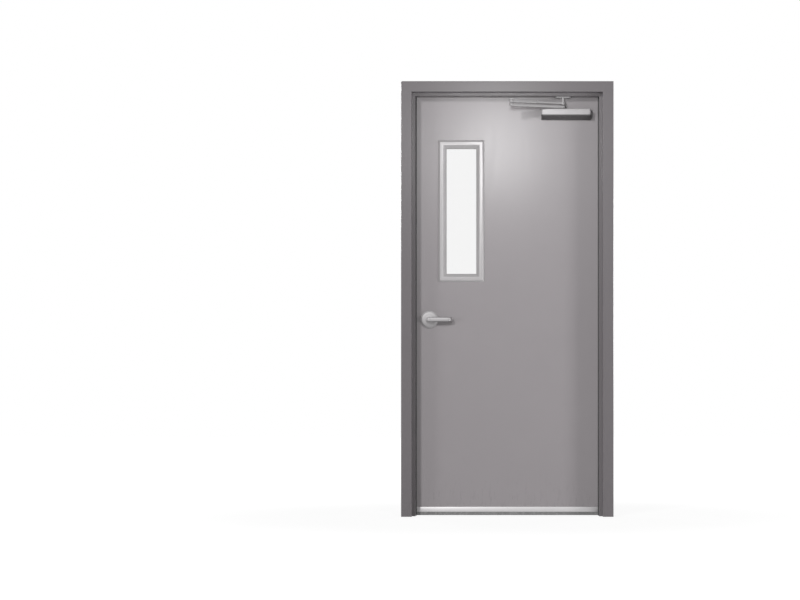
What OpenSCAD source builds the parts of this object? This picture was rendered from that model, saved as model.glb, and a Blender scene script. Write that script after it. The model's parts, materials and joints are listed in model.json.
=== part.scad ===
// Hollow-metal security door in its pressed steel frame.
// Millimetres, +Z up, +X towards the hinge side, -Y towards the push side.
// The origin is the middle of the foot plate inside the hinge jamb.

/* [Opening] */
// Clear width between the two jamb rabbets
opening_w = 914; // [760:1:1100]
// Height from the floor to the head rabbet
opening_h = 2032; // [1950:1:2400]

/* [Frame] */
// Width of the frame faces
face_w = 51; // [40:1:75]
// Thickness of the frame sheet
frame_sheet = 1.5; // [1.2:0.1:2.5]
// Inside radius of the frame bends
frame_bend = 1; // [0.5:0.1:2]
// Width of the stop between the two rabbets
soffit_w = 47; // [30:1:90]
// Height of the stop above the rabbets
stop_h = 16; // [14:0.5:20]
// Depth of the return behind each face
return_d = 12.7; // [8:0.1:16]

/* [Door] */
// Thickness of the door
door_t = 44.5; // [40:0.5:55]
// Gap round the door's edges
edge_gap = 5; // [5:0.5:7]
// Gap between the door and the stop
stop_gap = 5; // [5:0.5:7]
// Gap between the door and the floor
floor_gap = 19; // [10:1:25]
// Thickness of the door skins
skin_t = 1.2; // [0.9:0.1:2]
// Inside radius of the skins' bends
skin_bend = 1; // [0.5:0.1:2]
// Thickness of the end channels
channel_t = 1.5; // [1.2:0.1:2.5]
// Depth of the end channels
channel_d = 25; // [15:1:40]

/* [Window] */
// Distance from the latch edge to the lite frame
lite_from_edge = 120; // [90:1:160]
// Distance from the door's top to the lite frame
lite_drop = 218; // [150:1:300]
// Width over the lite frame
lite_w = 221; // [180:1:280]
// Height over the lite frame
lite_h = 682; // [400:1:720]
// Width of the lite frame's outer slope
lite_slope_w = 8; // [4:0.5:12]
// Width of the lite frame's ridge
lite_ridge_w = 15; // [8:0.5:20]
// Width of the lite frame's border
lite_border = 39; // [34:0.5:46]
// Overlap of the lite frame on the door skin
lite_lap = 26; // [18:0.5:28]
// Height of the lite frame's ridge above the skin
lite_rise = 9.5; // [6:0.5:12]
// Depth of the lite frame's inner slope below the skin
lite_sink = 7; // [3:0.5:9]
// Thickness of the lite frame sheet
lite_sheet = 1.5; // [1:0.1:2]
// Thickness of the glass
glass_t = 6.4; // [5:0.1:9]
// Thickness of the glazing tape
tape_t = 3; // [2:0.1:4]
// Width of the glazing tape
tape_w = 6; // [4:0.5:10]

/* [Hinges] */
// Height of a hinge
hinge_h = 114.3; // [100:0.1:127]
// Thickness of a hinge leaf
leaf_t = 3.4; // [3:0.1:4]
// Reach of a hinge leaf from the pin's axis
leaf_reach = 47; // [40:0.5:50]
// Outer radius of the knuckles
knuckle_r = 7.3; // [6.5:0.1:8]
// Radius of the hinge pins
pin_r = 4; // [3.5:0.1:4.5]
// Distance of the pin's axis from the frame face
pin_out = 9.5; // [9:0.1:12]
// From the head rabbet to the top hinge
top_hinge_drop = 127; // [100:1:180]
// From the floor to the bottom hinge
bottom_hinge_rise = 254; // [200:1:320]

/* [Lock] */
// Distance from the latch edge to the lock's axis
lock_backset = 76; // [70:1:90]
// Height of the lock's axis
lock_z = 945; // [900:1:1000]
// Radius of the round hole for the lock
lock_bore_r = 27; // [25:0.5:28]
// Radius of the roses
rose_r = 43.5; // [38:0.5:50]
// Height of a rose's rim
rose_rim = 4; // [3:0.5:6]
// Projection of the roses
rose_t = 11; // [8:0.5:14]
// Radius of the lever's neck
neck_r = 10; // [8:0.5:12]
// Projection of the lever's grip from the door
lever_out = 50; // [45:1:60]
// Length of the lever from its axis
lever_l = 110; // [100:1:130]
// Height of the lever's grip at its neck
lever_w = 22; // [18:0.5:26]
// Height of the lever's grip at its tip
lever_tip_w = 19; // [15:0.5:24]
// Thickness of the lever's grip
lever_t = 13; // [10:0.5:16]
// Depth of the lever's return towards the door
lever_return = 32; // [20:1:38]

/* [Strike] */
// Height of the strike plate
strike_h = 124; // [110:1:140]
// Width of the strike plate
strike_w = 31.8; // [28:0.1:36]
// Thickness of the strike plate
strike_t = 2.4; // [2:0.1:3]
// Height of the strike's lip
strike_lip_h = 70; // [50:1:90]
// Reach of the strike's lip past the frame face
strike_lip = 6; // [3:0.5:10]

/* [Closer] */
// Distance from the door's hinge edge to the closer's pinion
pinion_from_edge = 185; // [175:1:195]
// From the door's top to the closer's top edge
closer_drop = 70; // [62:1:87]
// Height of the closer's cover
closer_h = 50; // [48:1:60]
// Height of the cover's upright front
closer_face_h = 33; // [28:1:36]
// Length of the closer's cover
closer_l = 237; // [220:1:260]
// From the pinion to the cover's hinge end
closer_tail = 134; // [110:1:150]
// Projection of the closer from the door
closer_d = 58; // [56:1:64]
// Depth of the cover's flat foot at the door
closer_foot = 12; // [6:1:20]
// Thickness of the cover's walls
cover_t = 2; // [1.5:0.1:3]
// Length of each arm between its pivots
arm_length = 270; // [255:1:280]
// Width of the main arm at the pinion
arm_w = 22; // [18:1:26]
// Width of the main arm at the elbow
arm_tip_w = 16; // [14:1:20]
// Thickness of the main arm
main_arm_t = 12; // [8:0.5:13]
// Thickness of the forearm
forearm_t = 11; // [8:0.5:12]
// Width of the forearm's sleeve
sleeve_w = 18; // [16:0.5:22]
// Length of the forearm's sleeve from the elbow
sleeve_length = 130; // [100:1:180]
// Length of the shoe under the head
shoe_length = 76; // [60:1:100]
// Width of the shoe
shoe_w = 26; // [22:1:34]
// Thickness of the shoe
shoe_t = 6; // [4:0.5:8]

/* [Door sweep] */
// Height of the sweep's holder
sweep_h = 25; // [20:1:40]
// Thickness of the sweep's holder
sweep_t = 7; // [6.5:0.5:8]
// Thickness of the sweep's strip
strip_t = 2.8; // [2:0.1:3]
// Gap between the sweep's strip and the floor
sweep_gap = 3; // [2:0.5:6]

/* [Anchors] */
// Height of a wall anchor
anchor_h = 60; // [40:1:80]
// Thickness of the wall anchors
anchor_t = 1.5; // [1.2:0.1:2]
// Length of a wall anchor's legs
anchor_leg = 24; // [18:1:28]
// From the floor to the lowest wall anchor
anchor_rise = 420; // [300:1:500]
// From the head rabbet to the highest wall anchor
anchor_drop = 332; // [250:1:450]
// Length of the foot plates
foot_length = 116; // [104:1:118]
// Thickness of the foot plates
foot_t = 3; // [2:0.1:4]
// Height of the foot plates' upright leg
foot_rise = 50; // [40:1:58]
// Radius of the foot plates' bolt holes
foot_hole_r = 5.5; // [5:0.1:7]
// Distance between the foot plates' bolt holes
foot_hole_span = 70; // [60:1:80]

/* [Hidden] */
$fn = 48;

// How far a cut reaches past what it cuts, how far joined forms sink into
// each other, and the play of pieces that fit
past = 1;
join = 0.01;
fit_gap = 0.06;

// Places along X: the rabbets, the door's edges and the hinge pins
hinge_x = -(face_w + frame_sheet) / 2;
strike_x = hinge_x - opening_w;
door_hinge_x = hinge_x - edge_gap;
door_latch_x = strike_x + edge_gap;
pin_x = hinge_x - edge_gap / 2;

// Places along Y: the faces, the stop and the door
rabbet_d = door_t + stop_gap;
face_y = soffit_w / 2 + rabbet_d;
stop_y = soffit_w / 2;
door_pull_y = face_y;
door_push_y = face_y - door_t;
door_mid_y = (door_pull_y + door_push_y) / 2;
pin_y = face_y + pin_out;

// Places along Z
door_top = opening_h - edge_gap;
door_bottom = floor_gap;
soffit_z = opening_h - stop_h;
outer_h = opening_h + face_w;

// Hinge heights, from each hinge's lower end
bottom_hinge_z = bottom_hinge_rise;
top_hinge_z = opening_h - top_hinge_drop - hinge_h;
middle_hinge_z = (top_hinge_z + bottom_hinge_z) / 2;
HINGE_ZS = [top_hinge_z, middle_hinge_z, bottom_hinge_z];

// Points along an arc, and the outline of a sheet with rounded bends
ARC_STEPS = 5;
BEND_STEPS = 3;
function arc(centre, r, from, to) =
    [for (k = [0:ARC_STEPS])
        let (w = from + (to - from) * k / ARC_STEPS)
        centre + r * [cos(w), sin(w)]];
function unit(v) = v / norm(v);
function left(d) = [-d[1], d[0]];
function bend(a, b, c, t, r, off) =
    let (
        d0 = unit(b - a),
        d1 = unit(c - b),
        n0 = left(d0),
        n1 = left(d1),
        turn = atan2(d0[0] * d1[1] - d0[1] * d1[0], d0 * d1),
        s = sign(turn),
        rad = s > 0 ? r + t : r,
        centre = b + s * rad * (n0 + n1) / (1 + n0 * n1),
        reach = rad - s * off,
        start = atan2(n0[1], n0[0])
    )
    [for (k = [0:BEND_STEPS])
        let (w = start + turn * k / BEND_STEPS)
        centre - s * reach * [cos(w), sin(w)]];
function sheet_side(path, t, r, off) =
    let (last = len(path) - 1)
    [for (i = [0:last])
        each i == 0 ? [path[0] + off * left(unit(path[1] - path[0]))]
            : i == last ? [path[last] + off * left(unit(path[last] - path[last - 1]))]
            : bend(path[i - 1], path[i], path[i + 1], t, r, off)];
function backwards(list) = [for (i = [len(list) - 1:-1:0]) list[i]];
// The outline of a sheet that lies on the left of the path
function sheet_outline(path, t, r) =
    concat(sheet_side(path, t, r, 0), backwards(sheet_side(path, t, r, t)));

// Extrudes along X, with the drawing's X as Y and its Y as Z
module along_x(from, to) {
    translate([from, 0, 0]) rotate([90, 0, 90]) linear_extrude(height = to - from) children();
}

// Extrudes along Y, with the drawing's X as X and its Y as Z
module along_y(from, to) {
    translate([0, to, 0]) rotate([90, 0, 0]) linear_extrude(height = to - from) children();
}

module block(low, high) {
    translate(low) cube(high - low);
}

// A block whose four upright edges are bevelled, to lie inside a bent sheet
module bevelled_block(low, high, bevel) {
    translate([0, 0, low[2]])
        linear_extrude(height = high[2] - low[2])
        polygon([
            [low[0] + bevel, low[1]], [high[0] - bevel, low[1]],
            [high[0], low[1] + bevel], [high[0], high[1] - bevel],
            [high[0] - bevel, high[1]], [low[0] + bevel, high[1]],
            [low[0], high[1] - bevel], [low[0], low[1] + bevel]
        ]);
}

// A flat bar with round ends, drawn along X from its middle
module round_bar(length, width, height) {
    reach = (length - width) / 2;
    for (side = [-1, 1])
        translate([side * reach, 0, 0]) cylinder(r = width / 2, h = height);
    block([-reach, -width / 2, 0], [reach, width / 2, height]);
}

// Pressed frame section: X runs from the rabbet into the wall, Y through it
FRAME_PATH = [
    [face_w, face_y - return_d], [face_w, face_y], [0, face_y], [0, stop_y],
    [-stop_h, stop_y], [-stop_h, -stop_y], [0, -stop_y], [0, -face_y],
    [face_w, -face_y], [face_w, -face_y + return_d]
];
module frame_section() {
    polygon(sheet_outline(FRAME_PATH, frame_sheet, frame_bend));
}

// One jamb as drawn on the hinge side, with its top cut to the mitre
module jamb() {
    intersection() {
        translate([hinge_x, 0, 0]) linear_extrude(height = outer_h) frame_section();
        along_y(-face_y - past, face_y + past)
            polygon([
                [hinge_x - stop_h - past, 0],
                [hinge_x + face_w + past, 0],
                [hinge_x + face_w + past, outer_h + past],
                [hinge_x - stop_h - past, soffit_z - past]
            ]);
    }
}

// Turns what is drawn on the hinge side over to the strike side
module strike_side() {
    translate([hinge_x + strike_x, 0, 0]) mirror([1, 0, 0]) children();
}

module frame_colour() {
    color("#8f8c90") children();
}
module hidden_steel() {
    color("#8a8a8c") children();
}

module head() {
    frame_colour()
    intersection() {
        translate([0, 0, opening_h])
            along_x(strike_x - face_w - past, hinge_x + face_w + past)
            rotate(90) mirror([0, 1, 0]) frame_section();
        along_y(-face_y - past, face_y + past)
            polygon([
                [strike_x + stop_h + past, soffit_z - past],
                [hinge_x - stop_h - past, soffit_z - past],
                [hinge_x + face_w + past, outer_h + past],
                [strike_x - face_w - past, outer_h + past]
            ]);
    }
}

// Recess for one hinge leaf through the jamb's rabbet
module leaf_recess(z) {
    block([hinge_x - past, pin_y - leaf_reach - fit_gap, z - fit_gap],
        [hinge_x + leaf_t, face_y + past, z + hinge_h + fit_gap]);
}

module hinge_jamb() {
    frame_colour()
    difference() {
        jamb();
        for (z = HINGE_ZS) leaf_recess(z);
    }
}

// The plate's seat and the lip's notch, cut through the strike side
module strike_seat(depth) {
    along_x(strike_x - strike_t, strike_x + past)
        translate([door_mid_y, lock_z])
        square([strike_w + 2 * fit_gap, strike_h + 2 * fit_gap], center = true);
    block([strike_x - strike_t, door_mid_y, lock_z - strike_lip_h / 2 - fit_gap],
        [strike_x + past, door_mid_y + depth, lock_z + strike_lip_h / 2 + fit_gap]);
}

module strike_jamb() {
    frame_colour()
    difference() {
        strike_side() jamb();
        strike_seat(rabbet_d);
    }
}

// Strike plate, whose lip leads the latch in past the frame's face
latch_hole_h = 28;
latch_hole_w = 18;
lip_start = 3;
lip_bend = 2;
module latch_hole(from, to) {
    along_x(from, to)
        translate([door_mid_y, lock_z])
        square([latch_hole_w, latch_hole_h], center = true);
}
module strike_plate() {
    lip_path = [
        [strike_x - strike_t - strike_lip, face_y + lip_start + strike_lip],
        [strike_x - strike_t, face_y + lip_start],
        [strike_x - strike_t, door_mid_y]
    ];
    color("#c4c4c4")
    difference() {
        union() {
            along_x(strike_x - strike_t, strike_x)
                translate([door_mid_y, lock_z]) square([strike_w, strike_h], center = true);
            translate([0, 0, lock_z - strike_lip_h / 2])
                linear_extrude(height = strike_lip_h)
                polygon(sheet_outline(lip_path, strike_t, lip_bend));
        }
        latch_hole(strike_x - 2 * strike_t, strike_x + past);
    }
}

// Closed steel pocket behind the strike plate
pocket_t = 1.5;
pocket_d = 24;
pocket_side = 2;
pocket_over = 8;
module strike_box() {
    half_w = strike_w / 2 + pocket_side;
    half_h = strike_h / 2 + pocket_over;
    hidden_steel()
    difference() {
        block([strike_x - strike_t - pocket_d, door_mid_y - half_w, lock_z - half_h],
            [strike_x - frame_sheet, door_mid_y + half_w, lock_z + half_h]);
        strike_seat(rabbet_d);
        latch_hole(strike_x - strike_t - pocket_d + pocket_t, strike_x);
    }
}

// Rubber buttons with domed heads on the strike side's stop
silencer_r = 5;
silencer_clear = 0.4;
silencer_dome = 1.5;
silencer_end = 280;
SILENCER_ZS = [silencer_end, opening_h / 2, opening_h - silencer_end];
module silencers() {
    out = stop_gap - silencer_clear;
    dome = arc([silencer_r - silencer_dome, out - silencer_dome], silencer_dome, 0, 90);
    color("#55555a")
    for (z = SILENCER_ZS)
        translate([strike_x + stop_h / 2, stop_y, z]) rotate([-90, 0, 0])
            rotate_extrude() polygon(concat([[0, 0], [silencer_r, 0]], dome, [[0, out]]));
}

// Hinge: five knuckles, three on the frame leaf and two on the door leaf
KNUCKLES = 5;
knuckle_gap = 0.4;
knuckle_clear = 0.8;
knuckle_h = hinge_h / KNUCKLES;
// Draws one leaf on the hinge jamb's side of the pin
module leaf(z, first) {
    back_x = edge_gap / 2;
    knuckle_y = -knuckle_r - knuckle_clear;
    difference() {
        union() {
            block([back_x, -leaf_reach, z], [back_x + leaf_t, knuckle_y, z + hinge_h]);
            for (k = [first:2:KNUCKLES - 1]) {
                low = z + k * knuckle_h + (k == 0 ? 0 : knuckle_gap / 2);
                high = z + (k + 1) * knuckle_h - (k == KNUCKLES - 1 ? 0 : knuckle_gap / 2);
                translate([0, 0, low]) cylinder(r = knuckle_r, h = high - low);
                block([back_x, knuckle_y - join, low], [back_x + leaf_t, 0, high]);
            }
        }
        translate([0, 0, z - past]) cylinder(r = pin_r + fit_gap, h = hinge_h + 2 * past);
    }
}
module frame_leaf(z) {
    color("#b4b4b6") translate([pin_x, pin_y, 0]) leaf(z, 0);
}
module door_leaf(z) {
    color("#b4b4b6") translate([pin_x, pin_y, 0]) mirror([1, 0, 0]) leaf(z, 1);
}
module top_hinge_frame_leaf() {
    frame_leaf(top_hinge_z);
}
module middle_hinge_frame_leaf() {
    frame_leaf(middle_hinge_z);
}
module bottom_hinge_frame_leaf() {
    frame_leaf(bottom_hinge_z);
}
module top_hinge_door_leaf() {
    door_leaf(top_hinge_z);
}
module middle_hinge_door_leaf() {
    door_leaf(middle_hinge_z);
}
module bottom_hinge_door_leaf() {
    door_leaf(bottom_hinge_z);
}

// Pins with a tapered button at each end
button_h = 3.5;
button_taper = 1.5;
module hinge_pins() {
    color("#a6a6a8")
    for (z = HINGE_ZS) translate([pin_x, pin_y, z]) {
        cylinder(r = pin_r, h = hinge_h);
        translate([0, 0, hinge_h])
            cylinder(r1 = knuckle_r, r2 = knuckle_r - button_taper, h = button_h);
        translate([0, 0, -button_h])
            cylinder(r1 = knuckle_r - button_taper, r2 = knuckle_r, h = button_h);
    }
}

// Steel backing plates behind the hinge recesses, clear of the sheet's bends
plate_over = 40;
plate_t = 5;
module jamb_hinge_plates() {
    x = hinge_x + frame_sheet;
    clear = frame_sheet + frame_bend + past;
    hidden_steel()
    difference() {
        for (z = HINGE_ZS)
            block([x, stop_y + clear, z - plate_over],
                [x + plate_t, face_y - clear, z + hinge_h + plate_over]);
        for (z = HINGE_ZS) leaf_recess(z);
    }
}

// Wall anchors: bent straps across the inside of a jamb
anchor_clear = 1;
anchor_top = opening_h - anchor_drop;
ANCHOR_ZS = [anchor_rise, (anchor_rise + anchor_top) / 2, anchor_top];
module jamb_anchors() {
    inner_y = face_y - frame_sheet;
    back_x = hinge_x + face_w - frame_sheet;
    path = [
        [back_x - anchor_leg, -inner_y], [back_x - anchor_clear, -inner_y],
        [back_x - anchor_clear, inner_y], [back_x - anchor_leg, inner_y]
    ];
    for (z = ANCHOR_ZS) translate([0, 0, z])
        linear_extrude(height = anchor_h) polygon(sheet_outline(path, anchor_t, anchor_t));
}
module hinge_jamb_anchors() {
    hidden_steel() jamb_anchors();
}
module strike_jamb_anchors() {
    hidden_steel() strike_side() jamb_anchors();
}

// Floor anchor: a bent foot plate inside the jamb, with two bolt holes
foot_bend = 2;
module floor_anchor() {
    path = [
        [hinge_x + frame_sheet, foot_rise], [hinge_x + frame_sheet, 0],
        [hinge_x + face_w - past, 0]
    ];
    difference() {
        along_y(-foot_length / 2, foot_length / 2)
            polygon(sheet_outline(path, foot_t, foot_bend));
        for (side = [-1, 1])
            translate([0, side * foot_hole_span / 2, -past])
            cylinder(r = foot_hole_r, h = foot_t + 2 * past);
    }
}
module hinge_floor_anchor() {
    hidden_steel() floor_anchor();
}
module strike_floor_anchor() {
    hidden_steel() strike_side() floor_anchor();
}

// Closer: pinion on the door, shoe on the head, both on one axis at rest
closer_top = door_top - closer_drop;
closer_bottom = closer_top - closer_h;
pinion_x = door_hinge_x - pinion_from_edge;
closer_end_x = pinion_x + closer_tail;
pinion_y = door_push_y - closer_d / 2;
pinion_r = 6;
pivot_r = 5;
post_r = 7;
arm_gap = 3;
forearm_gap = 6;
head_gap = 0.5;
main_arm_z = closer_top + arm_gap;
forearm_z = main_arm_z + main_arm_t + forearm_gap;
forearm_top = forearm_z + forearm_t;
// At rest both arms lie on the line from the hinge pin through the pinion
arm_turn = atan2(pinion_y - pin_y, pinion_x - pin_x);
module at_pinion() {
    translate([pinion_x, pinion_y, 0]) rotate(arm_turn) children();
}

// Shoe: a plate under the head with a post and its riveted pivot
rivet_h = 1.5;
rivet_over = 3;
module closer_shoe() {
    color("#b9b9bb") translate([pinion_x, pinion_y, 0]) {
        translate([0, 0, soffit_z - shoe_t]) round_bar(shoe_length, shoe_w, shoe_t);
        translate([0, 0, forearm_top + head_gap])
            cylinder(r = post_r, h = soffit_z - shoe_t - forearm_top - head_gap + join);
        translate([0, 0, forearm_z - head_gap])
            cylinder(r = pivot_r, h = forearm_t + 2 * head_gap + join);
        translate([0, 0, forearm_z - head_gap - rivet_h])
            cylinder(r = pivot_r + rivet_over, h = rivet_h + join);
    }
}

// Plate above the soffit that takes the shoe's screws
head_plate_over = 30;
head_plate_clear = 2;
module head_closer_plate() {
    half_l = shoe_length / 2 + head_plate_over;
    half_w = stop_y - frame_sheet - head_plate_clear;
    low = soffit_z + frame_sheet;
    hidden_steel()
    block([pinion_x - half_l, -half_w, low], [pinion_x + half_l, half_w, low + plate_t]);
}

// Cuts through the door leaf
lite_x = door_latch_x + lite_from_edge;
lite_z = door_top - lite_drop - lite_h;
cut_x0 = lite_x + lite_lap;
cut_x1 = lite_x + lite_w - lite_lap;
cut_z0 = lite_z + lite_lap;
cut_z1 = lite_z + lite_h - lite_lap;
lock_x = door_latch_x + lock_backset;
lockface_h = 57.2;
lockface_w = 28.6;
lockface_t = 2.5;
module lite_cut() {
    block([cut_x0, door_push_y - past, cut_z0], [cut_x1, door_pull_y + past, cut_z1]);
}
module lock_cut(r) {
    translate([lock_x, door_pull_y + past, lock_z]) rotate([90, 0, 0])
        cylinder(r = r, h = door_t + 2 * past);
}
module latch_front_cut() {
    along_x(door_latch_x - past, door_latch_x + lockface_t)
        translate([door_mid_y, lock_z])
        square([lockface_w + 2 * fit_gap, lockface_h + 2 * fit_gap], center = true);
}
module door_leaf_cut() {
    for (z = HINGE_ZS)
        block([door_hinge_x - leaf_t, pin_y - leaf_reach - fit_gap, z - fit_gap],
            [door_hinge_x + past, face_y + past, z + hinge_h + fit_gap]);
}

// Turns what is drawn on the push side over to the pull side
module on_face(push) {
    turned = push ? 0 : 1;
    translate([0, turned * 2 * door_mid_y, 0]) mirror([0, turned, 0]) children();
}

// Door leaf shell: each skin wraps round both edges as far as the middle
module skin(push) {
    path = [
        [door_latch_x, door_mid_y], [door_latch_x, door_push_y],
        [door_hinge_x, door_push_y], [door_hinge_x, door_mid_y]
    ];
    color("#b5b2b4")
    difference() {
        on_face(push)
            translate([0, 0, door_bottom])
            linear_extrude(height = door_top - door_bottom)
            polygon(sheet_outline(path, skin_t, skin_bend));
        lite_cut();
        lock_cut(lock_bore_r);
        latch_front_cut();
        door_leaf_cut();
    }
}
module push_skin() {
    skin(true);
}
module pull_skin() {
    skin(false);
}

// Space inside the two skins
inner_x0 = door_latch_x + skin_t;
inner_x1 = door_hinge_x - skin_t;
inner_y0 = door_push_y + skin_t;
inner_y1 = door_pull_y - skin_t;

// Steel plates behind the door leaves of the hinges
module hinge_plate_blocks() {
    for (z = HINGE_ZS)
        bevelled_block([inner_x1 - plate_t, inner_y0, z - plate_over],
            [inner_x1, inner_y1, z + hinge_h + plate_over], skin_bend);
}
module door_hinge_plates() {
    hidden_steel()
    difference() {
        hinge_plate_blocks();
        door_leaf_cut();
    }
}

// Filling of the leaf between the two end channels
latch_tube_r = 11;
latch_tube_clear = 0.5;
module door_core() {
    color("#c9b58c")
    difference() {
        bevelled_block([inner_x0, inner_y0, door_bottom + channel_d],
            [inner_x1, inner_y1, door_top - channel_d], skin_bend);
        lite_cut();
        lock_cut(lock_bore_r);
        latch_front_cut();
        along_x(door_latch_x, lock_x)
            translate([door_mid_y, lock_z]) circle(r = latch_tube_r + latch_tube_clear);
        for (z = HINGE_ZS)
            block([inner_x1 - plate_t, inner_y0 - past, z - plate_over],
                [inner_x1 + past, inner_y1 + past, z + hinge_h + plate_over]);
    }
}

// End channel, drawn with its web at height zero and its legs upwards
channel_bend = 0.5;
module channel() {
    path = [
        [inner_y0, channel_d], [inner_y0, 0], [inner_y1, 0], [inner_y1, channel_d]
    ];
    along_x(inner_x0 + skin_bend, inner_x1 - skin_bend)
        polygon(sheet_outline(path, channel_t, channel_bend));
}
module top_channel() {
    color("#a9a7a9") translate([0, 0, door_top]) mirror([0, 0, 1]) channel();
}
module bottom_channel() {
    color("#a9a7a9") translate([0, 0, door_bottom]) channel();
}

// Lite frame section: X from its outer edge inwards, Y above the skin
lite_edge_h = 2;
lite_bend = 0.8;
leg_foot = tape_t - (door_t - glass_t) / 2;
LITE_PATH = [
    [0, 0], [0, lite_edge_h], [lite_slope_w, lite_rise],
    [lite_slope_w + lite_ridge_w, lite_rise],
    [lite_border, -lite_sink], [lite_border, leg_foot]
];
// The section goes round the window and is mitred at its four corners
module lite_frame(push) {
    section = sheet_outline(backwards(LITE_PATH), lite_sheet, lite_bend);
    n = len(section);
    CORNERS = [[0, 0], [1, 0], [1, 1], [0, 1]];
    points = [for (c = CORNERS, p = section) [
        lite_x + c[0] * lite_w + (1 - 2 * c[0]) * p[0],
        door_push_y - p[1],
        lite_z + c[1] * lite_h + (1 - 2 * c[1]) * p[0]
    ]];
    faces = [for (k = [0:3], i = [0:n - 1])
        let (j = (i + 1) % n, next = (k + 1) % 4)
        [k * n + i, next * n + i, next * n + j, k * n + j]];
    color("#b9b7b9") on_face(push) polyhedron(points, faces);
}
module push_lite_frame() {
    lite_frame(true);
}
module pull_lite_frame() {
    lite_frame(false);
}

glass_gap = 4;
module lite_glass() {
    color("#e8ecec")
    block([cut_x0 + glass_gap, door_mid_y - glass_t / 2, cut_z0 + glass_gap],
        [cut_x1 - glass_gap, door_mid_y + glass_t / 2, cut_z1 - glass_gap]);
}
// Tape rings between the glass and the two lite frames
module tape_ring() {
    foot_y = door_mid_y - glass_t / 2;
    inset = lite_border - tape_w;
    difference() {
        block([lite_x + inset, foot_y - tape_t, lite_z + inset],
            [lite_x + lite_w - inset, foot_y, lite_z + lite_h - inset]);
        block([lite_x + lite_border, door_push_y, lite_z + lite_border],
            [lite_x + lite_w - lite_border, door_pull_y, lite_z + lite_h - lite_border]);
    }
}
module glazing_tape() {
    color("#3c3c3e")
    for (push = [true, false]) on_face(push) tape_ring();
}

// Lock: chassis across the door, latch towards the strike
chassis_r = lock_bore_r - 1;
chassis_wall = 4;
latch_bolt_h = 16;
latch_bolt_w = 13;
latch_slope = 10;
latch_tip_w = 3;
module latch_way(from) {
    along_x(from, lock_x - chassis_r + chassis_wall)
        translate([door_mid_y, lock_z])
        square([latch_bolt_w + 2 * fit_gap, latch_bolt_h + 2 * fit_gap], center = true);
}
module lock_chassis() {
    color("#9a9a9c")
    difference() {
        union() {
            translate([lock_x, door_pull_y, lock_z]) rotate([90, 0, 0])
                cylinder(r = chassis_r, h = door_t);
            along_x(door_latch_x + lockface_t, lock_x)
                translate([door_mid_y, lock_z]) circle(r = latch_tube_r);
        }
        lock_cut(neck_r + fit_gap);
        latch_way(door_latch_x);
    }
}
module latch_front() {
    color("#c4c4c4")
    difference() {
        along_x(door_latch_x, door_latch_x + lockface_t)
            translate([door_mid_y, lock_z]) square([lockface_w, lockface_h], center = true);
        latch_way(door_latch_x - past);
    }
}
// Latch bolt, drawn back flush with its plate, with its slope on the push side
module latch_bolt() {
    low_y = door_mid_y - latch_bolt_w / 2;
    high_y = door_mid_y + latch_bolt_w / 2;
    back_x = lock_x - chassis_r + chassis_wall;
    color("#d0d0d0")
    translate([0, 0, lock_z - latch_bolt_h / 2])
        linear_extrude(height = latch_bolt_h)
        polygon([
            [door_latch_x, high_y], [door_latch_x, high_y - latch_tip_w],
            [door_latch_x + latch_slope, low_y], [back_x, low_y], [back_x, high_y]
        ]);
}

// Rose and lever, drawn with Y pointing away from the door
module on_side(push) {
    translate([lock_x, push ? door_push_y : door_pull_y, lock_z])
        mirror([0, push ? 1 : 0, 0]) children();
}
// Turned rose: a rounded rim, a shallow dome and a collar round the neck
rose_round = 2.5;
rose_ledge = 1.5;
collar_w = 7;
collar_h = 2.5;
module rose() {
    rim_r = rose_r - rose_round;
    collar_r = neck_r + collar_w;
    dome_h = rose_t - rose_rim - collar_h;
    dome = [for (p = arc([0, 0], 1, 0, 90))
        [collar_r + (rim_r - rose_ledge - collar_r) * p[0], rose_rim + dome_h * p[1]]];
    rotate([-90, 0, 0])
        rotate_extrude()
        polygon(concat(
            [[neck_r + fit_gap, 0], [rose_r, 0]],
            arc([rim_r, rose_rim - rose_round], rose_round, 0, 90),
            dome,
            [[collar_r, rose_t], [neck_r + fit_gap, rose_t]]
        ));
}
module push_rose() {
    color("#c4c2c4") on_side(true) rose();
}
module pull_rose() {
    color("#c4c2c4") on_side(false) rose();
}

// Lever: a turned neck and one bar, which tapers along the grip and bends
// back to the door at its tip
lever_round = 3;
lever_bend_r = 12;
return_w = 17;
BEND_RINGS = 4;
RING_POINTS = 16;
END_SHARE = 0.75;
SQUARENESS = 0.6;
// One ring of the bar, with its plane turned about the upright
function bar_ring(x, y, turn, height, thick) =
    [for (k = [0:RING_POINTS - 1])
        let (
            w = 360 * k / RING_POINTS,
            across = thick / 2 * sign(sin(w)) * pow(abs(sin(w)), SQUARENESS),
            up = height / 2 * sign(cos(w)) * pow(abs(cos(w)), SQUARENESS)
        )
        [x - across * sin(turn), y + across * cos(turn), up]];
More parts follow.
